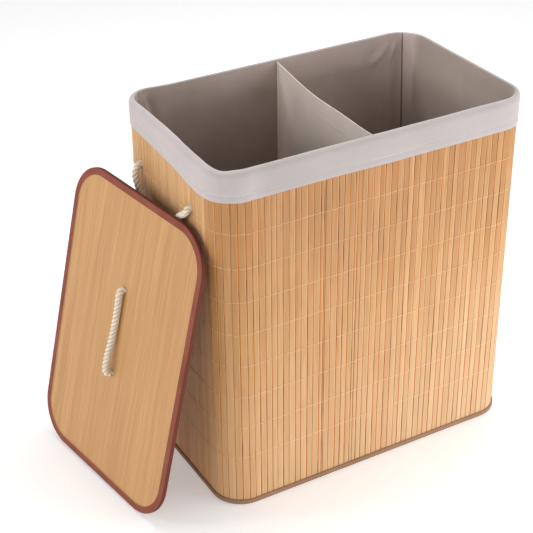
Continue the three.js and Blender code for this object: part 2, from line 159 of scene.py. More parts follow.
# A stitch's rings: share of its length, thickness as a share, and how far it stands out, as a share of 0.3 mm
STITCH_SIDES = 6
STITCH_RINGS = ((-0.5, 0.2, -1.0), (-0.36, 0.8, 0.0), (0.0, 1.0, 0.6), (0.36, 0.8, 0.0), (0.5, 0.2, -1.0))

# Rope. The left one is pinched between the wall and the lid, so it is slimmer.
ROPE_RADIUS = 0.0059
PINCHED_ROPE_RADIUS = 0.0054
KNOT_ROPE_RADIUS = 0.0033
KNOT_TAIL_RADIUS = 0.0042
KNOT_SIZE = 0.0021
ROPE_LAY = 0.0222
ROPE_STEP = 0.0012
ROPE_SIDES = 36


def mirrored(points):
    """A side rope's points on the other side of its handle's middle, in backward order."""
    return tuple((away, -along, up) for away, along, up in points[::-1])


# The rope routes, as in the CAD, with their ends carried on through the wall and the board. A side rope's points
# give the way out from the slats' faces, along the end from the handle's middle, and up from the holes. The lid's
# give the way along it and out from its veneer.
HANDLE_MIDDLE = 0.0126
HOLE_SPACING = 0.168
HOLE_HEIGHT = 0.5095
HOLE_RADIUS = 0.0062
HALF_ROPE_ROUTE = (
    (-0.0090, -0.0840, -0.0003), (-0.0040, -0.0840, -0.0003), (0.0010, -0.0840, -0.0003), (0.0058, -0.0839, -0.0014),
    (0.0092, -0.0834, -0.0060), (0.0120, -0.0818, -0.0150), (0.0117, -0.074, -0.033), (0.0088, -0.060, -0.053),
    (0.0075, -0.040, -0.069), (0.0073, -0.016, -0.078),
)
RIGHT_ROPE_ROUTE = HALF_ROPE_ROUTE + mirrored(HALF_ROPE_ROUTE)
LEFT_ROPE_ROUTE = HALF_ROPE_ROUTE[:3] + (
    (0.0049, -0.0836, -0.0016), (0.0066, -0.0815, -0.0062), (0.0070, -0.0755, -0.0120), (0.0061, -0.058, -0.024),
    (0.0061, -0.046, -0.035), (0.0066, -0.034, -0.049), (0.0073, -0.017, -0.066), (0.0073, 0.004, -0.077),
    (0.0075, 0.028, -0.077), (0.0080, 0.050, -0.063), (0.0090, 0.066, -0.047), (0.0115, 0.076, -0.031),
    (0.0120, 0.082, -0.0150),
) + mirrored(HALF_ROPE_ROUTE[:5])
LID_ROPE_ROUTE = (
    (0.0740, -0.0085), (0.0740, -0.0040), (0.0740, 0.0003), (0.0739, 0.0023), (0.0729, 0.0048), (0.0704, 0.0069),
    (0.0665, 0.0076), (0.058, 0.0072), (0.042, 0.0068), (0.020, 0.0068), (0.0, 0.0074), (-0.018, 0.0088),
    (-0.034, 0.0107), (-0.048, 0.0120), (-0.059, 0.0120), (-0.0675, 0.0109), (-0.0723, 0.0076), (-0.0738, 0.0036),
    (-0.0740, 0.0003), (-0.0740, -0.0040), (-0.0740, -0.0085),
)

# The lid's own sizes, and its handle's place: its holes' middle up from the lid's, and their shift to its side
LID_CORNER_RADIUS = 0.068
LID_BINDING_WIDTH = 0.0118
LID_EDGE_ROUNDING = 0.0016
LID_BACK_ROUNDING = 0.0036
LID_BACK_UV_SHIFT = 1.7
LID_LIP = ((0.0, -0.0011), (-0.0002, -0.0005), (0.0004, -0.0001), (0.0012, 0.0))
LID_HANDLE_OFFSET = 0.0132
LID_HANDLE_SHIFT = 0.0065
LID_HOLE_SPACING = 0.148

# The photograph's camera: its place, its view and its lens on a sensor 36 mm wide
CAMERA_PLACE = Vector((-1.0608, -1.6768, 1.47793))
CAMERA_RIGHT = Vector((0.86686, -0.49848, -0.00857))
CAMERA_UP = Vector((0.26276, 0.44219, 0.85757))
CAMERA_LENS = 93.68

# The studio: how bright its room is at the left, at the right and overhead, between which
# shares of its height its sides fade, how much its floor glows, and its lights: each one's place, the point it
# faces, its width and height, its watts and its colour
ROOM_LIGHT_LEFT = 2.35
ROOM_LIGHT_RIGHT = 2.4
ROOM_LIGHT_HIGH = 0.22
ROOM_FADE = (0.25, 0.60)
FLOOR_GLOW = 0.29
FLOOR_REACH = 6.0
LIGHTS = {
    "left": ((-2.3, 0.8, 1.75), (0, 0, 0.30), (0.35, 0.35), 8, (1, 1, 1)),
    "right": ((1.8, -1.6, 2.2), (0, 0, 0.30), (1.6, 1.6), 19, (1, 1, 1)),
    "top": ((0.2, 0.4, 2.6), (0, 0, 0.50), (1.6, 1.2), 29, (1, 1, 1)),
    "low": ((0.40, -0.80, 0.06), (0.15, -0.165, 0.12), (0.8, 0.3), 3.6, (0.94, 0.99, 1.0)),
}

dice = random.Random(7)


# Nodes


def srgb(red, green, blue):
    """A colour as read off a picture, as the shader's linear colour."""
    def linear(value):
        value /= 255
        return value / 12.92 if value <= 0.04045 else ((value + 0.055) / 1.055) ** 2.4

    return (linear(red), linear(green), linear(blue), 1.0)


class Nodes:
    """A node tree under construction. Each call adds one node or sets one constant, and a colour is given as read
    off a picture."""

    # A Mix node's inputs for its share and its two colours, and its output for the mixed colour
    MIX_INPUTS = (0, 6, 7)
    MIX_RESULT = 2

    def __init__(self, tree):
        self.tree = tree

    def put(self, socket, value):
        """Links a socket to another one, or sets it."""
        if isinstance(value, bpy.types.NodeSocket):
            self.tree.links.new(value, socket)
        elif socket.type == "RGBA" and len(value) == 3:
            socket.default_value = srgb(*value)
        else:
            socket.default_value = value

    def node(self, kind, **inputs):
        made = self.tree.nodes.new(kind)
        for name, value in inputs.items():
            self.put(made.inputs[name.replace("_", " ")], value)
        return made

    def split(self, vector):
        return self.node("ShaderNodeSeparateXYZ", Vector=vector).outputs

    def math(self, operation, first, second, clamp=False):
        made = self.tree.nodes.new("ShaderNodeMath")
        made.operation, made.use_clamp = operation, clamp
        self.put(made.inputs[0], first)
        self.put(made.inputs[1], second)
        return made.outputs["Value"]

    def span(self, value, low=0.3, high=0.7, to_low=0.0, to_high=1.0):
        ends = {"From Min": low, "From Max": high, "To Min": to_low, "To Max": to_high}
        return self.node("ShaderNodeMapRange", Value=value, **ends).outputs["Result"]

    def vary(self, value, grain, low, high, clamp=False):
        """A value with a noise added to it, spread between two limits."""
        return self.math("ADD", value, self.span(grain, to_low=low, to_high=high), clamp)


class Recipe(Nodes):
    """A material under construction."""

    def __init__(self, name, roughness, **sockets):
        self.material = bpy.data.materials.new(name)
        self.material.use_nodes = True
        super().__init__(self.material.node_tree)
        self.shader = self.tree.nodes["Principled BSDF"].inputs
        for socket, value in {"Roughness": roughness, **sockets}.items():
            self.put(self.shader[socket.replace("_", " ")], value)

    def place(self, kind, scale=(1.0, 1.0, 1.0)):
        """Object or UV coordinates, scaled per metre."""
        source = self.node("ShaderNodeTexCoord").outputs[kind]
        return self.node("ShaderNodeMapping", Vector=source, Scale=scale).outputs["Vector"]

    def noise(self, vector, detail=2.0, roughness=0.5):
        made = self.node("ShaderNodeTexNoise", Vector=vector, Scale=1.0, Detail=detail, Roughness=roughness)
        return made.outputs["Fac"]

    def speckle(self, kind, scale, detail=2.0, roughness=0.5):
        """Noise on Object or UV coordinates, at one scale or at one for each axis."""
        return self.noise(self.place(kind, scale if isinstance(scale, tuple) else (scale,) * 3), detail, roughness)

    def attribute(self, name):
        made = self.tree.nodes.new("ShaderNodeAttribute")
        made.attribute_name = name
        return made.outputs["Color"]

    def channels(self, name):
        made = self.node("ShaderNodeSeparateColor", Color=self.attribute(name)).outputs
        return made["Red"], made["Green"], made["Blue"]

    def ramp(self, value, *stops):
        """A colour ramp with its stops as (place, red, green, blue)."""
        made = self.node("ShaderNodeValToRGB", Fac=value)
        elements = made.color_ramp.elements
        while len(elements) < len(stops):
            elements.new(1.0)
        for element, (place, *colour) in zip(elements, stops):
            element.position, element.color = place, srgb(*colour)
        return made.outputs["Color"]

    def mix(self, share, low, high, kind="MIX"):
        made = self.tree.nodes.new("ShaderNodeMix")
        made.data_type, made.blend_type = "RGBA", kind
        for index, value in zip(self.MIX_INPUTS, (share, low, high)):
            self.put(made.inputs[index], value)
        return made.outputs[self.MIX_RESULT]

    def colour(self, value):
        self.put(self.shader["Base Color"], value)

    def bump(self, height, strength, distance, **under):
        made = self.node("ShaderNodeBump", Height=height, Strength=strength, Distance=distance, **under)
        self.put(self.shader["Normal"], made.outputs["Normal"])
        return made.outputs["Normal"]


# Camera, lights and floor


def add_to_scene(name, data):
    made = bpy.data.objects.new(name, data)
    bpy.context.scene.collection.objects.link(made)
    return made


def add_camera():
    data = bpy.data.cameras.new("camera")
    data.lens, data.sensor_width, data.clip_end = CAMERA_LENS, 36, 50
    camera = add_to_scene("camera", data)
    axes = Matrix((CAMERA_RIGHT, CAMERA_UP, CAMERA_RIGHT.cross(CAMERA_UP))).transposed()
    camera.matrix_world = Matrix.Translation(CAMERA_PLACE) @ axes.to_4x4()
    bpy.context.scene.camera = camera


def add_light(name, place, target, size, power, colour):
    data = bpy.data.lights.new(name, "AREA")
    data.shape, data.energy, data.color = "RECTANGLE", power, colour
    data.size, data.size_y = size
    light = add_to_scene(name, data)
    light.visible_camera = False
    light.location = place
    light.rotation_mode = "QUATERNION"
    light.rotation_quaternion = (Vector(target) - Vector(place)).to_track_quat("-Z", "Y")


def add_world():
    """A white room that is bright at its left and right and dim overhead."""
    world = bpy.data.worlds.new("studio")
    world.use_nodes = True
    room = Nodes(world.node_tree)
    place = room.split(room.node("ShaderNodeTexCoord").outputs["Generated"])
    left = room.math("MULTIPLY", place["X"], -ROOM_LIGHT_LEFT)
    right = room.math("MULTIPLY", place["X"], ROOM_LIGHT_RIGHT)
    sides = room.math("MAXIMUM", left, right)
    sides = room.math("MULTIPLY", sides, room.span(place["Z"], *ROOM_FADE, 1.0, 0.0))
    high_up = room.span(place["Z"], *ROOM_FADE, 0.0, ROOM_LIGHT_HIGH)
    background = room.tree.nodes["Background"].inputs
    room.put(background["Color"], (255, 255, 255))
    room.put(background["Strength"], room.math("ADD", sides, high_up))
    bpy.context.scene.world = world


def add_floor():
    """A white floor that gives off light of its own, as a lit sweep does."""
    recipe = Recipe("floor_paint", 0.9, Emission_Color=(255, 255, 255), Emission_Strength=FLOOR_GLOW)
    recipe.colour((250, 250, 250))
    corners = [(x * FLOOR_REACH, y * FLOOR_REACH, 0) for x, y in ((-1, -1), (1, -1), (1, 1), (-1, 1))]
    floor = add_object("floor", corners, [(0, 1, 2, 3)], recipe.material, smooth=False)


def add_studio():
    """Soft lights at the left, at the right and overhead, and a weak one low down in front, in a white room."""
    bpy.context.scene.view_settings.view_transform = "Standard"
    add_world()
    for name, setting in LIGHTS.items():
        add_light(name, *setting)
    add_floor()


# Materials


def slat_bamboo():
    """Split bamboo. A slat's colour attribute holds its tone, how near its left edge (towards 0) or its right edge
    (towards 1) a point is, and its own offset. The front attribute holds how much painted light makes its foot paler."""
    recipe = Recipe("slat_bamboo", 0.5, Specular_IOR_Level=0.3)
    tone, edge, offset = recipe.channels("slat")
    foot_light_share, _, _ = recipe.channels("front")
    shift = recipe.node("ShaderNodeCombineXYZ", X=recipe.math("MULTIPLY", offset, 90.0), Z=offset).outputs["Vector"]
    moved = recipe.tree.nodes.new("ShaderNodeVectorMath")
    recipe.put(moved.inputs[0], recipe.place("Object", (520.0, 520.0, 9.0)))
    recipe.put(moved.inputs[1], shift)
    grain = recipe.noise(moved.outputs["Vector"], 4.0, 0.6)
    shade = recipe.vary(tone, grain, -0.24, 0.22)
    shade = recipe.vary(shade, recipe.speckle("Object", (30.0, 30.0, 7.0)), -0.08, 0.08, clamp=True)
    wood = recipe.ramp(shade, (0.0, 176, 124, 72), (0.35, 194, 145, 93), (0.7, 209, 165, 115), (1.0, 226, 193, 152))
    height = recipe.split(recipe.place("Object"))["Z"]
    # Painted light: the front mat grows paler towards its foot.
    lit_foot = recipe.math("MULTIPLY", recipe.span(height, 0.38, 0.02, 0.0, 0.40), foot_light_share)
    wood = recipe.mix(lit_foot, wood, (206, 175, 142))
    # The outermost edges at the gaps: partly scorched, partly painted shade.
    patchy = recipe.span(recipe.speckle("Object", (70.0, 70.0, 14.0)), 0.34, 0.54)
    scorched_and_shaded = recipe.mix(patchy, (148, 78, 20), (212, 126, 38))
    wood = recipe.mix(recipe.span(edge, 0.42, 0.10), wood, scorched_and_shaded)
    # A painted highlight on each slat's right bevel.
    wood = recipe.mix(recipe.span(edge, 0.58, 0.80, 0.0, 0.7), wood, (228, 190, 146))
    recipe.colour(recipe.mix(recipe.span(edge, 0.86, 0.97), wood, scorched_and_shaded))
    recipe.bump(grain, 0.2, 0.0003)
    return recipe.material


def gap_cloth():
    """The cloth behind the slats. Its colour attribute holds how dark it is at each gap."""
    recipe = Recipe("gap_cloth", 0.9)
    patchy = recipe.speckle("Object", (60.0, 60.0, 16.0), 3.0)
    shade = recipe.vary(recipe.channels("gap")[0], patchy, -0.35, 0.35, clamp=True)
    recipe.colour(recipe.ramp(shade, (0.0, 112, 56, 14), (0.4, 200, 110, 30), (1.0, 240, 164, 80)))
    return recipe.material


def woven_cloth(name, light, dark, toned=False):
    """Plain-woven cloth, on UVs in metres. Its weave is a fine bump, and its colour changes a little. A toned cloth's
    mesh has an attribute that multiplies its colour, with painted light and shade."""
    recipe = Recipe(name, 0.92, Specular_IOR_Level=0.2, Sheen_Weight=0.15, Sheen_Roughness=0.5)
    place = recipe.split(recipe.place("UV"))
    warp, weft = (recipe.math("SINE", recipe.math("MULTIPLY", place[axis], 5200.0), 0.0) for axis in "XY")
    slub = recipe.speckle("UV", (900.0, 60.0, 1.0), 3.0)
    cloud = recipe.span(recipe.speckle("Object", 14.0, 3.0), to_low=0.2, to_high=0.8)
    colour = recipe.mix(recipe.vary(cloud, slub, -0.2, 0.2, clamp=True), dark, light)
    recipe.colour(recipe.mix(1.0, colour, recipe.attribute("tone"), "MULTIPLY") if toned else colour)
    fine = recipe.bump(recipe.math("MULTIPLY", warp, weft), 0.12, 0.0002)
    recipe.bump(slub, 0.10, 0.0002, Normal=fine)
    return recipe.material


def speckled(name, roughness, scale, detail, dark, light, contrast=(), bump=(), **sockets):
    """A material of two colours, mixed by one noise, with a bump of that noise if asked for."""
    recipe = Recipe(name, roughness, **sockets)
    grain = recipe.speckle("Object", scale, detail)
    recipe.colour(recipe.mix(recipe.span(grain, *contrast) if contrast else grain, dark, light))
    if bump:
        recipe.bump(grain, *bump)
    return recipe.material


def thread_cotton(name, colour):
    """Cotton thread or twine, with a fine unevenness."""
    light = srgb(*colour)
    dark = tuple(channel * 0.82 for channel in light[:3]) + (1.0,)
    sheen = {"Sheen_Weight": 0.2, "Sheen_Roughness": 0.5}
    return speckled(name, 0.85, 900.0, 2.0, dark, light, (0.3, 0.7), (0.3, 0.0002), **sheen)


def rope_cotton():
    """Twisted cotton, on UVs in metres: along the rope, and round it with the twist. The grooves between its strands
    are painted darker, as painted shade.
    """
    recipe = Recipe("rope_cotton", 0.9, Sheen_Weight=0.35, Sheen_Roughness=0.5, Specular_IOR_Level=0.2)
    yarn = recipe.speckle("UV", (170.0, 1500.0, 1.0), 4.0, 0.6)
    depth, _, _ = recipe.channels("groove")
    cotton = recipe.mix(recipe.span(yarn), (220, 208, 186), (245, 237, 220))
    # Painted shade in the grooves between the strands.
    recipe.colour(recipe.mix(recipe.span(depth, 0.2, 0.9, 0.0, 0.9), cotton, (158, 122, 96)))
    recipe.bump(yarn, 0.5, 0.0006)
    return recipe.material


def veneer(name, *stops):
    """Bamboo veneer, on UVs in metres: along the lid and across it. Wide soft bands, streaks and fine grain."""
    recipe = Recipe(name, 0.45, Specular_IOR_Level=0.3)
    waver = recipe.speckle("UV", (5.0, 9.0, 1.0))
    place = recipe.split(recipe.place("UV"))
    across = recipe.vary(place["Y"], waver, -0.003, 0.003)
    warped = recipe.node("ShaderNodeCombineXYZ", X=place["X"], Y=across).outputs["Vector"]
    bands, lines, grain = (
        recipe.noise(recipe.node("ShaderNodeMapping", Vector=warped, Scale=scale).outputs["Vector"], detail)
        for scale, detail in (((2.2, 62.0, 1.0), 2.0), ((4.0, 460.0, 1.0), 3.0), ((40.0, 1900.0, 1.0), 3.0))
    )
    shade = recipe.vary(recipe.span(bands, 0.28, 0.72, 0.22, 0.78), lines, -0.40, 0.30)
    recipe.colour(recipe.ramp(recipe.vary(shade, grain, -0.12, 0.12, clamp=True), *stops))
    recipe.bump(grain, 0.12, 0.0002)
    return recipe.material


def lid_veneer():
    return veneer("lid_veneer", (0.0, 182, 133, 83), (0.35, 192, 144, 92), (0.7, 201, 154, 101), (1.0, 210, 166, 114))


# A darker copy of the face's veneer: painted shade for the wedge between the lid and the wall.
def lid_back_veneer():
    return veneer("lid_back_veneer", (0.0, 112, 66, 30), (0.35, 124, 74, 36), (0.7, 134, 82, 42), (1.0, 144, 90, 48))


def binding_leather():
    """Imitation leather: a fine pebble, with painted shade on the board's side and a painted highlight at its lip."""
    recipe = Recipe("binding_leather", 0.65, Specular_IOR_Level=0.18)
    pebble = recipe.speckle("Object", 1100.0, 3.0, 0.6)
    shade = recipe.vary(recipe.span(recipe.speckle("Object", 25.0, 3.0)), pebble, -0.2, 0.2, clamp=True)
    side, lip, _ = recipe.channels("part")
    # Painted shade on the edge's side.
    leather = recipe.mix(side, recipe.mix(shade, (128, 67, 50), (144, 80, 62)), (104, 52, 38))
    # Painted highlight along the lip.
    recipe.colour(recipe.mix(lip, leather, (226, 188, 156)))
    recipe.bump(pebble, 0.3, 0.0003)
    return recipe.material


def cuff_cloth():
    return woven_cloth("cuff_cloth", (196, 187, 186), (186, 177, 176), toned=True)


# The same cloth as the cuff's, turned over, made darker and browner: painted shade of the bins' insides.
def liner_cloth():
    return woven_cloth("liner_cloth", (181, 165, 156), (166, 150, 141), toned=True)


# The same kind of cloth as the cuff's, made paler: painted light.
def divider_cloth():
    return woven_cloth("divider_cloth", (232, 220, 211), (221, 209, 199), toned=True)


def binding_tape():
    return woven_cloth("binding_tape", (160, 124, 98), (142, 107, 82))


def base_cloth():
    return woven_cloth("base_cloth", (150, 128, 112), (128, 106, 90))


def fibreboard():
    return speckled("fibreboard", 0.85, 500.0, 4.0, (132, 98, 66), (166, 128, 90), bump=(0.3, 0.0003))


def drawn_wire():
    return speckled("drawn_wire", 0.35, (60.0, 60.0, 900.0), 3.0, (150, 150, 150), (185, 185, 185), Metallic=0.9)


# Meshes


def add_object(name, vertices, faces, material, smooth=True):
    mesh = bpy.data.meshes.new(name)
    mesh.from_pydata([tuple(vertex) for vertex in vertices], [], faces)
    mesh.materials.append(material)
    if smooth:
        mesh.shade_smooth()
    return add_to_scene(name, mesh)


def grid_faces(rows, columns, close_rows=False, close_columns=True):
    """The quads of a grid of points, kept row by row."""
    faces = []
    for row in range(rows if close_rows else rows - 1):
        low, high = row * columns, (row + 1) % rows * columns
        for column in range(columns if close_columns else columns - 1):
            beside = (column + 1) % columns
            faces.append((low + column, low + beside, high + beside, high + column))
    return faces


def capped_faces(rings, sides):
    """The faces of a prism of rings, with its two ends."""
    last = (rings - 1) * sides
    return grid_faces(rings, sides) + [tuple(range(sides))[::-1], tuple(range(last, last + sides))]


def set_uv(made, uv):
    """Gives each vertex its own UV. uv has one pair for each vertex."""
    layer = made.data.uv_layers.new(name="UVMap")
    corners = np.empty(len(made.data.loops), int)
    made.data.loops.foreach_get("vertex_index", corners)
    layer.data.foreach_set("uv", np.asarray(uv, np.float32)[corners].ravel())


def set_colour(made, name, values):
    """A colour attribute with red, green and blue for each vertex, or with one number that stands for all three."""
    attribute = made.data.attributes.new(name, "FLOAT_COLOR", "POINT")
    rows = np.ones((len(values), 4), np.float32)
    rows[:, :3] = np.asarray(values).reshape(len(values), -1)
    attribute.data.foreach_set("color", rows.ravel())


def facing(made):
    """Turns a closed mesh's faces outward."""
    mesh = bmesh.new()
    mesh.from_mesh(made.data)
    bmesh.ops.recalc_face_normals(mesh, faces=mesh.faces)
    mesh.to_mesh(made.data)
    mesh.free()
    return made


def thicken(made, thickness, side=-1.0):
    """Gives a sheet its thickness. side is -1 where the sheet is the cloth's outer face."""
    solid = made.modifiers.new("thickness", "SOLIDIFY")
    solid.thickness, solid.offset = thickness, side


def ease(value, start, length):
    """0 before the start and 1 past the length, and smooth between them. A negative length runs backward."""
    value = np.clip((value - start) / length, 0.0, 1.0)
    return value * value * (3 - 2 * value)


def bell(value, middle, width):
    return np.exp(-(((value - middle) / width) ** 2))


@np.vectorize
def ripple(x, y, z):
    """Smooth noise at a place, or at each of an array of places."""
    return noise.noise(Vector((x, y, z)))


def unit(vectors):
    return vectors / np.linalg.norm(vectors, axis=-1, keepdims=True)


def ways_ahead(points, closed):
    """The direction of a line at each of its points."""
    return unit(np.roll(points, -1, axis=0) - np.roll(points, 1, axis=0) if closed else np.gradient(points, axis=0))


def ring_points(centres, reach, angles, across, beside):
    """A ring of points round each centre, in the plane of two directions."""
    turned = np.cos(angles)[..., None] * across[:, None] + np.sin(angles)[..., None] * beside[:, None]
    return (centres[:, None] + reach * turned).reshape(-1, 3)


# The hamper's outline


FLATS = (2 * (HALF_LENGTH - CORNER_RADIUS), 2 * (HALF_DEPTH - CORNER_RADIUS))
LENGTHS = [FLATS[0], math.pi / 2 * CORNER_RADIUS, FLATS[1], math.pi / 2 * CORNER_RADIUS] * 2
STARTS = np.concatenate([[0.0], np.cumsum(LENGTHS)])
_, FRONT_END, RIGHT_START, RIGHT_END, BACK_START, BACK_END, LEFT_START, LEFT_END, PERIMETER = STARTS.tolist()
RIGHT_MIDDLE = (RIGHT_START + RIGHT_END) / 2
STITCH_COUNT = int(PERIMETER / STITCH_PITCH)
STITCH_PLACES = np.arange(STITCH_COUNT) * PERIMETER / STITCH_COUNT


def outline(along, offset, inset=0.0):
    """Points round the hamper, from the front wall's left end by its right end, with their outward directions.
    An offset moves a point out of the slats' faces, and an inset draws the ends in between their corners."""
    along = np.asarray(along, float) % PERIMETER
    section = np.clip(np.searchsorted(STARTS, along, side="right") - 1, 0, 7)
    local = along - STARTS[section]
    turn = section // 2
    in_corner = section % 2 == 1
    angle = (turn - 1) * math.pi / 2 + np.where(in_corner, local / CORNER_RADIUS, 0.0)
    run = np.where(in_corner, np.array(FLATS)[turn % 2], local)
    core_x = np.array([-1, 1, 1, -1])[turn] * FLATS[0] / 2 + np.array([1, 0, -1, 0])[turn] * run
    core_y = np.array([-1, -1, 1, 1])[turn] * FLATS[1] / 2 + np.array([0, 1, 0, -1])[turn] * run
    out_x, out_y = np.cos(angle), np.sin(angle)
    reach = CORNER_RADIUS + np.asarray(offset)
    drawn = np.asarray(inset) * core_x / (FLATS[0] / 2)
    return core_x + reach * out_x - drawn, core_y + reach * out_y, out_x, out_y


def outline_row(along, offset, height, inset=0.0):
    """A row of points round the hamper."""
    x, y, _, _ = outline(along, offset, inset)
    return np.stack([x, y, np.broadcast_to(height, x.shape)], axis=1)


def along_back(x, offset=0.0):
    """The way round to the point of the back wall, or of its right corner, that has this X."""
    past = np.asarray(x) - FLATS[0] / 2
    angle = np.arcsin(np.clip(past / (CORNER_RADIUS + offset), 0.0, 1.0))
    return BACK_START - np.where(past <= 0, past, CORNER_RADIUS * angle)


def profile_along(table, along):
    """A height read from a table of (way round, height) pairs, eased between them."""
    ways, heights = np.array(table).T
    after = np.clip(np.searchsorted(ways, along, side="right"), 1, len(ways) - 1)
    share = ease(along, ways[after - 1], ways[after] - ways[after - 1])
    return heights[after - 1] + share * (heights[after] - heights[after - 1])


def add_wrap(name, profile, along, rows, material):
    """A cloth round the hamper, with a row of points for each (offset, height) of its profile, and its length from
    edge to edge. Its UVs are the way round and the way along the profile."""
    ways = np.cumsum([0.0] + [math.dist(*ends) for ends in zip(profile, profile[1:])])
    piece = add_object(name, np.concatenate(rows), grid_faces(len(rows), len(along)), material)
    set_uv(piece, np.stack(np.meshgrid(along, ways), axis=-1).reshape(-1, 2))
    return piece, float(ways[-1])


# Slats, the cloth behind them and the twine


def slat_edges():
    """For each wall, the places along the outline where one slat ends and the next begins."""
    walls = []
    for index, start in enumerate(STARTS[:-1]):
        count = CORNER_SLATS if index % 2 else FLAT_SLATS[index // 2 % 2]
        pitch = LENGTHS[index] / count
        edges = [start]
        for slat in range(1, count):
            edges.append(start + slat * pitch + dice.uniform(-0.12, 0.12) * pitch)
            if index % 2 == 0 and dice.random() < SPLIT_CHANCE:
                edges.append(edges[-1] + dice.uniform(0.4, 0.6) * pitch)
        edges.append(start + LENGTHS[index])
        walls.append(sorted(edges))
    return walls


def slat_solid(low, high, seed, lift, marking, unevenness):
    """One slat as a closed prism: its points and faces, and how near each point is to its left or right edge, where
    marking says how strongly the edges' scorching, painted shade and painted highlight show."""
    x, y, out_x, out_y = map(float, outline((low + high) / 2, lift))
    half = (high - low) / 2 - SLAT_GAP / 2
    tilt = dice.uniform(-0.012, 0.012)
    inner = half - SLAT_BEVEL

    def half_section(sign, mark_width, near):
        """Points from beside the face's middle to the back, as (across, depth, nearness to the edge)."""
        return [(sign * across, depth, nearness) for across, depth, nearness in (
            (inner * 0.6, SLAT_CROWN * 0.3, 0.0), (inner - mark_width, SLAT_CROWN * 0.7, 0.3),
            (inner, SLAT_CROWN * 0.8, near), (half - SLAT_BEVEL * 0.3, SLAT_BEVEL * 0.3, 0.95),
            (half, SLAT_BEVEL, 1.0), (half, SLAT_THICKNESS, 1.0),
        )]

    section = half_section(-1, 0.0006, 0.8)[::-1] + [(0.0, 0.0, 0.0)] + half_section(1, 0.0007, 0.65)
    points, nearness = [], []
    left_edge, right_edge = marking * dice.uniform(0.5, 1.0), marking * dice.choice((0.5, 1.0, 1.0))
    for height in np.linspace(WALL_FOOT, SLAT_TOP, SLAT_LEVELS):
        left, right, bow = (
            amount * float(ripple((seed + shift) * 7.31, 0.0, height * 9.0))
            for shift, amount in ((0, unevenness), (1, unevenness), (500, SLAT_BOW))
        )
        for across, depth, near in section:
            side = across + (left if across < 0 else right if across > 0 else 0.0)
            out = bow - depth + tilt * across
            points.append((x - out_y * side + out_x * out, y + out_x * side + out_y * out, height))
            nearness.append(0.5 - 0.5 * near * left_edge if across < 0 else 0.5 + 0.5 * near * right_edge)
    return points, capped_faces(SLAT_LEVELS, len(section)), nearness


def cut_hole(points, faces, hole):
    """The slat's mesh with a round hole through it, along X."""
    blank = facing(add_object("blank", points, faces, bpy.data.materials[0]))
    bpy.ops.mesh.primitive_cylinder_add(
        vertices=32, radius=HOLE_RADIUS, depth=0.02, location=hole, rotation=(0, math.pi / 2, 0)
    )
    cutter = bpy.context.object
    cut = blank.modifiers.new("hole", "BOOLEAN")
    cut.operation, cut.object = "DIFFERENCE", cutter
    solved = blank.evaluated_get(bpy.context.evaluated_depsgraph_get()).to_mesh()
    points = [tuple(vertex.co) for vertex in solved.vertices]
    faces = [tuple(face.vertices) for face in solved.polygons]
    bpy.data.objects.remove(blank)
    bpy.data.objects.remove(cutter)
    return points, faces


def to_right(x):
    """A place's share of the way from the front wall's left end to its right end."""
    return np.clip((x + FLATS[0] / 2) / FLATS[0], 0.0, 1.0)


def add_slats(edges_of_walls):
    bamboo = slat_bamboo()
    for wall, edges in zip(WALLS, edges_of_walls):
        points, faces, values = [], [], []
        in_front = wall.startswith("slat_mat_front")
        ground, painted_foot_light, marking = FRONT_LOOK if in_front else OTHER_LOOK
        alternate = dice.choice((-1, 1))
        holes = [
            (out * HALF_LENGTH, HANDLE_MIDDLE + end * HOLE_SPACING / 2, HOLE_HEIGHT)
            for out in HOLED_WALLS.get(wall, ()) for end in (-1, 1)
        ]
        for slat, (low, high) in enumerate(zip(edges[:-1], edges[1:])):
            seed, lift = dice.random() * 900, dice.uniform(-0.00018, 0.00002)
            share = float(to_right(outline(low, 0.0)[0])) if in_front else 0.0
            part, part_faces, nearness = slat_solid(low, high, seed, lift, marking, 0.00016 + 0.00022 * share)
            ys = [point[1] for point in part]
            for hole in holes:
                if min(ys) - HOLE_RADIUS < hole[1] < max(ys) + HOLE_RADIUS:
                    part, part_faces = cut_hole(part, part_faces, hole)
                    nearness = [0.5] * len(part)
            contrast = 0.04 + 0.08 * slat / len(edges) if wall == "slat_mat_front" else 0.04
            tone = ground + contrast * alternate * (-1) ** slat + dice.gauss(0, 0.06)
            offset = dice.random()
            # In front the tone also rises towards the foot and falls towards the top: painted light.
            values += [
                (tone + painted_foot_light * (0.5 - point[2] / SLAT_TOP), near, offset) for point, near in zip(part, nearness)
            ]
            faces += [tuple(len(points) + corner for corner in face) for face in part_faces]
            points += part
        piece = facing(add_object("slats" + wall.removeprefix("slat_mat"), points, faces, bamboo, smooth=False))
        set_colour(piece, "slat", values)
        # Painted light on the front mat's feet, stronger towards its right end.
        set_colour(piece, "front", in_front * (0.6 + 0.9 * to_right(np.array(points)[:, 0])))
        piece.data.set_sharp_from_angle(angle=math.radians(50))
        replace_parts(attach(piece, "hamper"), wall)


def add_backing(edges_of_walls):
    """The cloth that the slats are glued to, which shows in their gaps."""
    places, tones = [], []
    for edges in edges_of_walls:
        for edge in edges[:-1]:
            places += [edge - 0.0012, edge + 0.0012]
            tones += [dice.choice((0.1, 0.35, 0.5, 0.6, 0.75))] * 2
    front, back = -SLAT_THICKNESS, -SLAT_THICKNESS - BACKING_THICKNESS
    corners = ((front, WALL_FOOT), (front, SLAT_TOP), (back, SLAT_TOP), (back, WALL_FOOT))
    points = np.concatenate([outline_row(places, *corner) for corner in corners])
    piece = add_object("slat_backing", points, grid_faces(4, len(places), True), gap_cloth(), smooth=False)
    set_colour(facing(piece), "gap", [(tone, 0, 0) for tone in tones * 4])
    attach(piece, "hamper")


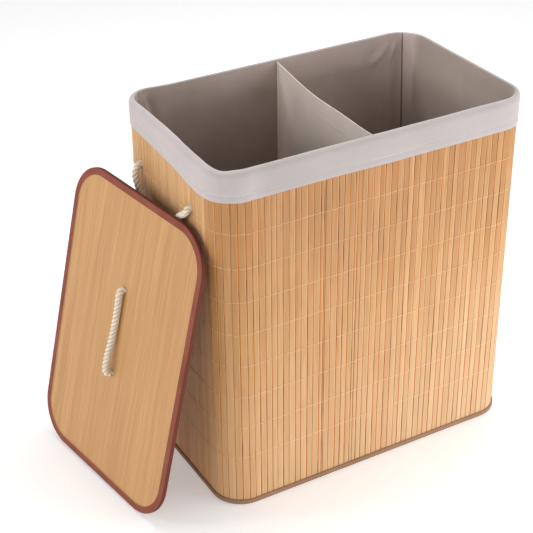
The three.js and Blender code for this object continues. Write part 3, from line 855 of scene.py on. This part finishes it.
def add_twine(edges_of_walls):
    """Each row lies over the slats and dips into their gaps."""
    twine = thread_cotton("twine_cotton", (244, 210, 170))
    edges = sorted(edge for wall in edges_of_walls for edge in wall[:-1]) + [PERIMETER]
    starts, widths = np.array(edges[:-1]), np.diff(edges)
    shares, outs = np.array(TWINE_WAVE).T
    places = (starts[:, None] + shares * widths[:, None]).ravel()
    angles = np.linspace(0, 2 * math.pi, TWINE_SIDES, endpoint=False)
    for row in range(1, TWINE_ROWS + 1):
        low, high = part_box(f"twine_row_{row}")
        heights = np.repeat([(low.z + high.z) / 2 + dice.uniform(-0.0005, 0.0005) for _ in starts], len(shares))
        centres = outline_row(places, np.tile(outs, len(starts)), heights)
        ahead = ways_ahead(centres, True)
        side = unit(np.cross(ahead, (0, 0, 1)))
        points = ring_points(centres, TWINE_RADIUS, angles, side, np.cross(side, ahead))
        piece = add_object(f"twine_{row}", points, grid_faces(len(centres), TWINE_SIDES, True), twine)
        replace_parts(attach(piece, "hamper"), f"twine_row_{row}")


# The bag


def ridge(along, heights, start, end, half_width, depth):
    """A fold along a line on the unrolled wall, fading at its ends."""
    line = np.array(end) - np.array(start)
    length = np.linalg.norm(line)
    line = line / length
    reach_s, reach_z = along - start[0], heights - start[1]
    run = reach_s * line[0] + reach_z * line[1]
    away = reach_s * line[1] - reach_z * line[0]
    beyond = np.maximum(np.maximum(-run, run - length), 0.0)
    return depth * bell(away, 0.0, half_width) * bell(beyond, 0.0, 0.008 + 1.2 * half_width)


def wall_folds(along, heights):
    """How far the bag's wall stands in from its smooth form."""
    folds = [((along_back(x0), z0), (along_back(x1), z1), *form) for (x0, z0), (x1, z1), *form in BACK_FOLDS]
    folds += [((RIGHT_MIDDLE + s0, z0), (RIGHT_MIDDLE + s1, z1), *form) for (s0, z0), (s1, z1), *form in END_FOLDS]
    total = sum(ridge(along, heights, *fold) for fold in folds) + 0.0008 * ease(heights, 0.568, -0.008)
    total += 0.0016 * ripple(along * 11.0, 0.0, heights * 2.6) + 0.0007 * ripple(along * 42.0, 5.0, heights * 9.0)
    return total * ease(heights, RIM_HEIGHT - 0.010, -0.030)


def end_inset(along, heights):
    """How far the bag's ends are drawn in: not at the rim, and in full from below its slope. The corners are drawn
    in only near the floor."""
    full = HALF_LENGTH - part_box("bag_floor")[1].x + BAG_INNER
    from_end = np.minimum(*(
        np.maximum(np.maximum(start - along, along - end), 0.0)
        for start, end in ((RIGHT_START, RIGHT_END), (LEFT_START, LEFT_END))
    ))
    window = np.maximum(1 - ease(from_end, 0.0, 0.028), ease(heights, 0.20, -0.15))
    return full * ease(heights, RIM_HEIGHT - 0.012, -0.066) * window


def seam_places(heights):
    """The way round to each back corner's seam, which leans out a little as it hangs."""
    right = along_back(np.minimum(SEAM_X + SEAM_LEAN * (RIM_HEIGHT - heights), SEAM_X + 0.012), BAG_INNER)
    return right, BACK_END + BACK_START - right


def seam_lines(along, heights):
    """The corner seams: a narrow groove beside a narrow ridge, from the rim down."""
    beside = [along - place for place in seam_places(heights)]
    total = sum(0.0016 * bell(way, 0.0016, 0.0012) - 0.0022 * bell(way, -0.0006, 0.0009) for way in beside)
    return total * ease(heights, RIM_HEIGHT - 0.002, -0.006)


def bag_columns():
    """Places round the bag: finer where the corner seams and the thin folds run."""
    fine = [(RIGHT_MIDDLE - 0.008, RIGHT_MIDDLE + 0.008)]
    fine += zip(*(seam_places(height) for height in (RIM_HEIGHT, BAG_FOOT)))
    spans = [(0.0, PERIMETER - 0.002, 0.0042)]
    spans += [(min(ends) - 0.004, max(ends) + 0.004, 0.0006) for ends in fine]
    spans += [(along_back(x + 0.070), along_back(x), 0.0014) for x in (0.180, -0.250)]
    places = np.unique(np.concatenate([np.round(np.arange(*span), 5) for span in spans]))
    return places[np.concatenate([[True], np.diff(places) > 0.0003])]


def cuff_shading(along, offset, height):
    """How much of its colour the cuff's cloth keeps: less in front; painted shade in a band under the rim's top and on
    the lip at the rim's back and right; a painted highlight on the lip at the front and left.
    """
    band = 0.05 * bell(height, RIM_HEIGHT - 0.0050, 0.0030) if offset > -0.0012 else 0.0
    far = ease(along, FRONT_END, 0.06) * ease(along, LEFT_START, -0.06)
    # lip is painted shade at the back and right; edge is a painted highlight at the front and left.
    lip, edge = 0.30 * ease(offset, -0.0004, -0.003), 0.12 * ease(offset, -0.0035, -0.002)
    in_front = ease(along, 0.0, 0.03) * ease(along, FRONT_END, -0.03) * (0.05 + 0.05 * ease(along, 0.16, -0.12))
    return 1.0 - band - lip * far + edge * (1 - far) - in_front


def wall_shading(along, heights):
    """How much of its colour the bag's wall keeps: painted light under the back's rim and round the right corner, and
    painted shade at the seams, at the back's left part and in front."""
    past = along - BACK_START
    seams = seam_places(heights)
    rim = 0.28 * ease(heights, 0.545, 0.045) * ease(along, RIGHT_END, 0.05) * ease(past, 0.50, -0.30)
    corner = 0.34 * ease(heights, 0.40, 0.13) * ease(along, RIGHT_END, 0.03) * ease(past, 0.06, -0.05)
    beside = ease(along, seams[0], -0.003) * ease(along, RIGHT_END + 0.010, 0.020)
    corner = corner + 0.36 * beside * ease(heights, 0.44, 0.10)
    left = 0.14 * ease(heights, 0.57, -0.03) * ease(past, 0.29, 0.08) * ease(past, 0.445, -0.04)
    front = 0.10 * ease(along, RIGHT_START + 0.085, -0.08)
    lines = sum(bell(along - place, -0.0003, 0.0010) for place in seams)
    return (1.0 + np.maximum(rim, corner) - left - front) * (1.0 - lines * (0.50 + 0.35 * ease(heights, 0.50, -0.07)))


def add_bag():
    """One cloth: the cuff's hem outside, the turned rim, and the bag's wall down to its floor."""
    profile = [(offset, CUFF_FOOT + rise) for offset, rise in CUFF_FROM_FOOT]
    profile += [(offset, RIM_HEIGHT - drop) for offset, drop in CUFF_FROM_RIM]
    turned = len(profile) - 3
    profile += [(BAG_INNER, height) for height in np.linspace(RIM_HEIGHT - 0.008, BAG_FOOT + 0.004, 72)]
    along = bag_columns()
    sag = 0.0006 * ripple(along * 14.0, 3.0, 0.0) - profile_along(RIM_RISE, along)
    rise = profile_along(HEM_RISE, along)
    rows, tones = [], []
    for index, (offset, height) in enumerate(profile):
        inside = offset < -0.0065 and height < RIM_HEIGHT - 0.002
        level, reach = np.full(len(along), height), np.full(len(along), offset)
        lowered = sag * ease(level, CUFF_FOOT, RIM_HEIGHT - CUFF_FOOT)
        if inside:
            reach = np.minimum(reach - wall_folds(along, level) - seam_lines(along, level), BAG_OUTER_LIMIT)
        else:
            lowered = lowered - rise * (1 - np.clip((level - CUFF_FOOT - 0.016) / 0.026, 0.0, 1.0))
            if height < RIM_HEIGHT - 0.004:
                reach = reach + 0.0006 * np.maximum(ripple(along * 16.0, 9.0, height * 10.0), -0.3)
        rows.append(outline_row(along, reach, level - lowered, end_inset(along, level) if inside else 0.0))
        tones.append(wall_shading(along, level) if index >= turned else cuff_shading(along, offset, height))
    piece, way = add_wrap("bag", profile, along, rows, cuff_cloth())
    tones = np.concatenate(tones)
    # The tone holds painted light and shade; its blue moves a little further, so shaded cloth is warmer and lit cloth
    # cooler.
    set_colour(piece, "tone", np.stack([tones, tones, tones * (1 + 0.12 * (tones - 1))], axis=1))
    piece.data.materials.append(liner_cloth())
    for face in piece.data.polygons:
        face.material_index = int(face.vertices[0] // len(along) >= turned)
    thicken(piece, CLOTH_THICKNESS)
    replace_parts(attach(piece, "hamper"), "bag_cuff", "bag_wall")


def add_stitches(name, heights, offset, material):
    """A row of short stitches along the outline."""
    points, faces = [], []
    angles = np.linspace(0, 2 * math.pi, STITCH_SIDES, endpoint=False)
    for place, height in zip(STITCH_PLACES, heights):
        faces += [
            tuple(len(points) + corner for corner in face) for face in capped_faces(len(STITCH_RINGS), STITCH_SIDES)
        ]
        lift = dice.uniform(-0.0001, 0.0001)
        for share, thick, out in STITCH_RINGS:
            x, y, out_x, out_y = map(float, outline(place + share * STITCH_LENGTH, offset + out * 0.0003))
            for angle in angles:
                reach, up = STITCH_RADIUS * thick * math.cos(angle), STITCH_RADIUS * thick * math.sin(angle)
                points.append((x + out_x * reach, y + out_y * reach, height + lift + up))
    return facing(add_object(name, points, faces, material))


def add_cuff_stitches():
    heights = CUFF_FOOT + CUFF_STITCH_DROP + profile_along(HEM_RISE, STITCH_PLACES)
    piece = add_stitches("cuff_stitches", heights, 0.0016, thread_cotton("cuff_thread", (250, 244, 238)))
    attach(piece, "hamper")


def add_bag_floor():
    """The bag's floor, with soft unevenness from the folded cloth."""
    low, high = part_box("bag_floor")
    radius = CORNER_RADIUS + BAG_INNER
    across, up = np.meshgrid(np.linspace(low.x, high.x, 90), np.linspace(low.y, high.y, 54))
    pull_x, pull_y = (
        np.maximum(np.abs(places) - (limit - radius), 0) / radius for places, limit in ((across, high.x), (up, high.y))
    )
    reach = np.hypot(pull_x, pull_y)
    share = np.where(reach > 1e-6, np.maximum(pull_x, pull_y) / np.maximum(reach, 1e-6), 1.0)
    across -= np.sign(across) * pull_x * radius * (1 - share)
    up -= np.sign(up) * pull_y * radius * (1 - share)
    level = high.z + 0.0010 + 0.0009 * ripple(across * 9.0, up * 9.0, 1.0)
    points = np.stack([across, up, level], axis=-1).reshape(-1, 3)
    faces = grid_faces(54, 90, close_columns=False)
    piece = add_object("bag_bottom", points, faces, bpy.data.materials["liner_cloth"])
    set_uv(piece, points[:, :2])
    set_colour(piece, "tone", np.ones(len(points)))
    thicken(piece, CLOTH_THICKNESS)
    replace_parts(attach(piece, "hamper"), "bag_floor")


def divider_end(y):
    """The middle of the divider's edge at its front or its back, seen from above."""
    places = [vertex.co.x for vertex in frame["nodes"]["bag_divider"].data.vertices if abs(vertex.co.y - y) < 0.003]
    return Vector((sum(places) / len(places), y, 0))


def divider_shading(share, drop):
    """How much of its colour the divider keeps, by its share of the way back and its drop from the upper edge: painted
    light towards the back, and painted shade low down nearer the front.
    """
    back = 0.62 * ease(share, 0.76, 0.22) * ease(drop, -0.012, 0.072)
    low_down = ease(drop, 0.045 + 0.15 * (max(share, 0.5) - 0.5), 0.045)
    return min(0.88 + back, 1.27) - 0.20 * low_down * ease(share, 0.82, -0.12)


def add_divider():
    """A double cloth with a sewn hem along its sagging upper edge, sewn to the bag at its front and back."""
    low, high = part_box("bag_divider")
    front = divider_end(low.y)
    line = divider_end(high.y) - front
    side = Vector((line.y, -line.x, 0)).normalized()
    shares = np.concatenate([np.linspace(0, 0.05, 8), np.linspace(0.06, 0.94, 70), np.linspace(0.95, 1, 8)])
    drops = np.concatenate([DIVIDER_HEM_DROPS, np.linspace(0.040, high.z - low.z, 46)])
    points, uv, tones = [], [], []
    for drop in drops:
        for share in shares:
            top = high.z - DIVIDER_SAG * 4 * share * (1 - share)
            height = max(top - drop * (top - low.z) / (high.z - low.z), low.z)
            bulge = 0.0016 * float(ripple(share * 3.0, height * 5.0, 2.0))
            bulge += 0.0022 * math.sin(math.pi * share) * math.exp(-drop / 0.05) * math.sin(share * 7.0)
            bulge -= 0.00030 * bell(drop, DIVIDER_HEM, 0.0010)
            place = front + line * share + side * bulge * min(1.0, 12 * share, 12 * (1 - share))
            points.append((place.x, place.y, height))
            uv.append((share * line.length, height))
            tones.append(divider_shading(share, drop))
    faces = grid_faces(len(drops), len(shares), close_columns=False)
    piece = add_object("divider", points, faces, divider_cloth())
    set_uv(piece, uv)
    set_colour(piece, "tone", tones)
    thicken(piece, DIVIDER_THICKNESS, 0.0)
    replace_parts(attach(piece, "hamper"), "bag_divider")


# The base


def add_binding():
    """A cloth tape round the foot of the slats, stitched near its upper edge."""
    low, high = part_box("bottom_binding")
    section = [(offset, low.z + rise) for offset, rise in BINDING_FROM_FOOT]
    section += [(offset, high.z - drop) for offset, drop in BINDING_FROM_TOP]
    along = np.arange(0.0, PERIMETER - 0.002, 0.0035)
    rows = [
        outline_row(along, offset + 0.00025 * ripple(along * 30.0, 4.0, height * 60.0), height)
        for offset, height in section
    ]
    piece, _ = add_wrap("foot_binding", section, along, rows, binding_tape())
    thicken(piece, BINDING_THICKNESS, 1.0)
    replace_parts(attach(piece, "hamper"), "bottom_binding")

    heights = np.full(len(STITCH_PLACES), high.z - 0.0020)
    stitches = add_stitches("foot_stitches", heights, 0.0011, thread_cotton("binding_thread", (112, 80, 58)))
    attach(stitches, "hamper")


def finish_hidden_nodes():
    """The nodes that stay as the CAD has them get their materials."""
    board, cotton = fibreboard(), bpy.data.materials["rope_cotton"]
    finishes = {"base_board": board, "lid_core": board, "rim_hoop": drawn_wire(), "base_cover": base_cloth()}
    for side in ("left", "right"):
        finishes |= {f"{side}_handle_knot_front": cotton, f"{side}_handle_knot_back": cotton}
    for node, material in finishes.items():
        slots = frame["nodes"][node].data.materials
        slots.clear()
        slots.append(material)


# Rope


def even_points(route):
    """Points at even steps on the smooth curve through a route, and its length."""
    ends = [2 * route[0] - route[1]] + list(route) + [2 * route[-1] - route[-2]]
    dense = []
    for before, start, end, after in zip(ends, ends[1:], ends[2:], ends[3:]):
        knots = [0.0]
        for one, two in ((before, start), (start, end), (end, after)):
            knots.append(knots[-1] + max((two - one).length, 1e-6) ** 0.5)
        t0, t1, t2, t3 = knots
        for share in np.linspace(0, 1, 24, endpoint=False):
            t = t1 + share * (t2 - t1)
            a1 = before.lerp(start, (t - t0) / (t1 - t0))
            a2 = start.lerp(end, (t - t1) / (t2 - t1))
            a3 = end.lerp(after, (t - t2) / (t3 - t2))
            b1 = a1.lerp(a2, (t - t0) / (t2 - t0))
            b2 = a2.lerp(a3, (t - t1) / (t3 - t1))
            dense.append(b1.lerp(b2, (t - t1) / (t2 - t1)))
    dense.append(route[-1].copy())
    way = np.concatenate([[0.0], np.cumsum([(two - one).length for one, two in zip(dense, dense[1:])])])
    targets = np.linspace(0, way[-1], max(int(way[-1] / ROPE_STEP), 2) + 1)
    table = np.array([tuple(point) for point in dense])
    return np.stack([np.interp(targets, way, table[:, axis]) for axis in range(3)], axis=1), float(way[-1])


def turning_frames(points, closed):
    """Directions across a line that turn with it and don't twist about it."""
    ahead = ways_ahead(points, closed)
    across = [unit(np.cross(ahead[0], (0.31, 0.83, 0.46)))]
    for direction in ahead[1:]:
        across.append(unit(across[-1] - direction * (across[-1] @ direction)))
    across = np.array(across)
    return across, np.cross(ahead, across)


def lobe(angle):
    """A three-strand rope's section: its radius as a share, and how deep in a groove it is."""
    turn = (angle + math.pi / 3) % (2 * math.pi / 3) - math.pi / 3
    reach = 0.36 * np.cos(turn) + np.sqrt(0.64**2 - (0.36 * np.sin(turn)) ** 2)
    return reach, np.abs(turn) / (math.pi / 3)


def rope_mesh(name, points, length, radius, closed=False):
    """A right-laid rope of three strands along points at even steps."""
    across, beside = turning_frames(points, closed)
    angles = np.linspace(0, 2 * math.pi, ROPE_SIDES, endpoint=False)
    turns = round(length / ROPE_LAY) if closed else length / ROPE_LAY
    twist = np.linspace(0, 2 * math.pi * turns, len(points), endpoint=not closed)
    reach, depth = lobe(angles[None, :] - twist[:, None])
    # A closed rope's last frame is turned back to meet its first
    slip = math.atan2(across[0] @ beside[-1], across[0] @ across[-1]) if closed else 0.0
    angles = angles[None, :] + np.linspace(0, slip, len(points))[:, None]
    points_round = ring_points(points, radius * reach[..., None], angles, across, beside)
    faces = grid_faces(len(points), ROPE_SIDES, True) if closed else capped_faces(len(points), ROPE_SIDES)
    piece = add_object(name, points_round, faces, bpy.data.materials["rope_cotton"])
    ways = np.linspace(0, length, len(points))
    around = radius * (np.arange(ROPE_SIDES) / ROPE_SIDES * 2 * math.pi)
    set_uv(piece, np.stack(np.meshgrid(ways, around, indexing="ij"), axis=-1).reshape(-1, 2))
    set_colour(piece, "groove", depth.ravel() ** 4)
    return facing(piece)


def add_side_rope(side, out, route, radius):
    """A rope handle of one end."""
    places = [
        Vector((out * (HALF_LENGTH + away), HANDLE_MIDDLE + along, HOLE_HEIGHT + up)) for away, along, up in route
    ]
    points, length = even_points(places)
    piece = rope_mesh(f"{side}_rope", points, length, radius)
    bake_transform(piece)
    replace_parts(piece, f"{side}_handle_rope")


# The lid, in its own frame: u up its length, v across it and w out of its face


def lid_frame():
    """The lid's axes, from its joint and its two knots, and its middle."""
    def middle(node):
        return sum(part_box(node), Vector()) / 2

    out = Vector(next(j for j in frame["joints"] if j["child"] == "lid")["axis"]).normalized()
    along = middle("lid_handle_knot_upper") - middle("lid_handle_knot_lower")
    up = (along - out * along.dot(out)).normalized()
    return Matrix((up, out.cross(up), out)).transposed().to_4x4(), middle("lid_binding")


LID_AXES, LID_MIDDLE = lid_frame()
LID_PLACE = Matrix.Translation(LID_MIDDLE) @ LID_AXES


def lid_span(node, axis):
    """A node's least and greatest reach along one of the lid's axes, from the lid's middle."""
    direction = LID_AXES.to_3x3().col[axis]
    reaches = [(vertex.co - LID_MIDDLE).dot(direction) for vertex in frame["nodes"][node].data.vertices]
    return min(reaches), max(reaches)


LID_HALF = (lid_span("lid_binding", 0)[1], lid_span("lid_binding", 1)[1])
LID_BACK, LID_FACE = lid_span("lid_binding", 2)


def ride_lid(piece):
    """Puts a piece made in the lid's own frame in its place, as part of the lid."""
    piece.data.transform(LID_PLACE)
    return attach(piece, "lid")


def lid_outline(offset):
    """The lid's rounded rectangle, moved out by an offset."""
    arcs = []
    for corner, signs in enumerate(((1, 1), (-1, 1), (-1, -1), (1, -1))):
        angles = (corner + np.linspace(0, 1, 21)) * math.pi / 2
        centre = np.array(signs) * (np.array(LID_HALF) - LID_CORNER_RADIUS)
        arcs.append(centre + (LID_CORNER_RADIUS + offset) * np.stack([np.cos(angles), np.sin(angles)], axis=1))
    edges = [np.linspace(arc[-1], after[0], 13)[1:-1] for arc, after in zip(arcs, arcs[1:] + arcs[:1])]
    return [tuple(point) for pair in zip(arcs, edges) for run in pair for point in run]


def add_lid_sheet(name, node, material, uv_shift):
    """The veneer of one face: a thin board with the rope's two round holes."""
    low, high = lid_span(node, 2)
    circle = np.linspace(0, 2 * math.pi, 32, endpoint=False)
    curve = bpy.data.curves.new(name, "CURVE")
    curve.dimensions, curve.fill_mode, curve.extrude = "2D", "BOTH", (high - low) / 2
    holes = [LID_HANDLE_OFFSET + end * LID_HOLE_SPACING / 2 for end in (-1, 1)]
    loops = [lid_outline(-0.0016)] + [
        [(hole + HOLE_RADIUS * math.cos(a), LID_HANDLE_SHIFT + HOLE_RADIUS * math.sin(a)) for a in circle]
        for hole in holes
    ]
    for loop in loops:
        spline = curve.splines.new("POLY")
        spline.points.add(len(loop) - 1)
        for point, (u, v) in zip(spline.points, loop):
            point.co = (u, v, 0, 1)
        spline.use_cyclic_u = True
    blank = add_to_scene(name, curve)
    solved = bpy.data.meshes.new_from_object(blank.evaluated_get(bpy.context.evaluated_depsgraph_get()))
    bpy.data.objects.remove(blank)
    piece = add_to_scene(name, solved)
    solved.transform(Matrix.Translation((0, 0, (low + high) / 2)))
    solved.materials.clear()
    solved.materials.append(material)
    for layer in list(solved.uv_layers):
        solved.uv_layers.remove(layer)
    set_uv(piece, [(vertex.co.x + uv_shift, vertex.co.y) for vertex in solved.vertices])
    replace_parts(ride_lid(piece), node)


def add_lid_binding():
    """Imitation leather round the lid's edge and over both faces, with soft edges."""
    half, middle = (LID_FACE - LID_BACK) / 2, (LID_FACE + LID_BACK) / 2

    def half_section(sign, rounding):
        """From the lip on one face to the edge's side."""
        lip = [(reach - LID_BINDING_WIDTH, half + rise) for reach, rise in LID_LIP] + [(-0.0070, half + 0.0001)]
        turns = np.linspace(0, math.pi / 2, 7)
        bend = [(rounding * (math.sin(turn) - 1), half - rounding * (1 - math.cos(turn))) for turn in turns]
        return [(offset, middle + sign * level) for offset, level in lip + bend]

    section = half_section(1, LID_EDGE_ROUNDING) + [(0.0, middle)] + half_section(-1, LID_BACK_ROUNDING)[::-1]
    rings, parts = [], []
    for offset, level in section:
        ring = lid_outline(offset)
        rings += [(u, v, level + 0.00012 * float(ripple(u * 40, v * 40, level * 300))) for u, v in ring]
        # The part attribute: painted shade on the edge's side, and a painted highlight at the lip.
        on_side, at_lip = offset > -LID_EDGE_ROUNDING * 0.5, offset < 0.0002 - LID_BINDING_WIDTH
        parts += [(on_side, at_lip, 0.0)] * len(ring)
    piece = facing(add_object("lid_edge", rings, grid_faces(len(section), len(ring), True), binding_leather()))
    set_colour(piece, "part", parts)
    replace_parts(ride_lid(piece), "lid_binding")


def add_lid_rope():
    face = lid_span("lid_veneer", 2)[1]
    route = [(LID_HANDLE_OFFSET + along, LID_HANDLE_SHIFT, face + out) for along, out in LID_ROPE_ROUTE]
    points, length = even_points([LID_PLACE @ Vector(place) for place in route])
    piece = rope_mesh("lid_rope", points, length, ROPE_RADIUS)
    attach(piece, "lid")
    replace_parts(piece, "lid_handle_rope")


def add_lid_knot(end):
    """An overhand knot behind the lid, drawn tight, with its cut tail."""
    node = f"lid_handle_knot_{end}"
    u = sum(lid_span(node, 0)) / 2
    turn = np.linspace(0, 2 * math.pi, 150, endpoint=False)
    points = np.stack([
        u + KNOT_SIZE * (np.sin(turn) + 2 * np.sin(2 * turn)),
        LID_HANDLE_SHIFT + KNOT_SIZE * (np.cos(turn) - 2 * np.cos(2 * turn)),
        LID_BACK - 0.0062 + 0.0028 * np.sin(3 * turn),
    ], axis=1)
    length = float(np.linalg.norm(np.roll(points, -1, axis=0) - points, axis=1).sum())
    knot = rope_mesh(f"lid_knot_{end}", points, length, KNOT_ROPE_RADIUS, closed=True)
    start = Vector((u, LID_HANDLE_SHIFT, LID_BACK - 0.004))
    route = [start, start + Vector((0.001, 0.001, -0.006)), start + Vector((0.003, 0.002, -0.012))]
    tail = rope_mesh(f"lid_knot_tail_{end}", *even_points(route), KNOT_TAIL_RADIUS)
    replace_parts(ride_lid(knot), node)
    ride_lid(tail)


add_camera()
add_studio()
rope_cotton()
add_side_rope("right", 1, RIGHT_ROPE_ROUTE, ROPE_RADIUS)
add_side_rope("left", -1, LEFT_ROPE_ROUTE, PINCHED_ROPE_RADIUS)
add_lid_rope()
wall_edges = slat_edges()
add_slats(wall_edges)
add_backing(wall_edges)
add_twine(wall_edges)
add_bag()
add_cuff_stitches()
add_bag_floor()
add_divider()
add_binding()
add_lid_sheet("lid_face", "lid_veneer", lid_veneer(), 0.0)
add_lid_sheet("lid_back", "lid_back_sheet", lid_back_veneer(), LID_BACK_UV_SHIFT)
add_lid_binding()
add_lid_knot("lower")
add_lid_knot("upper")
finish_hidden_nodes()
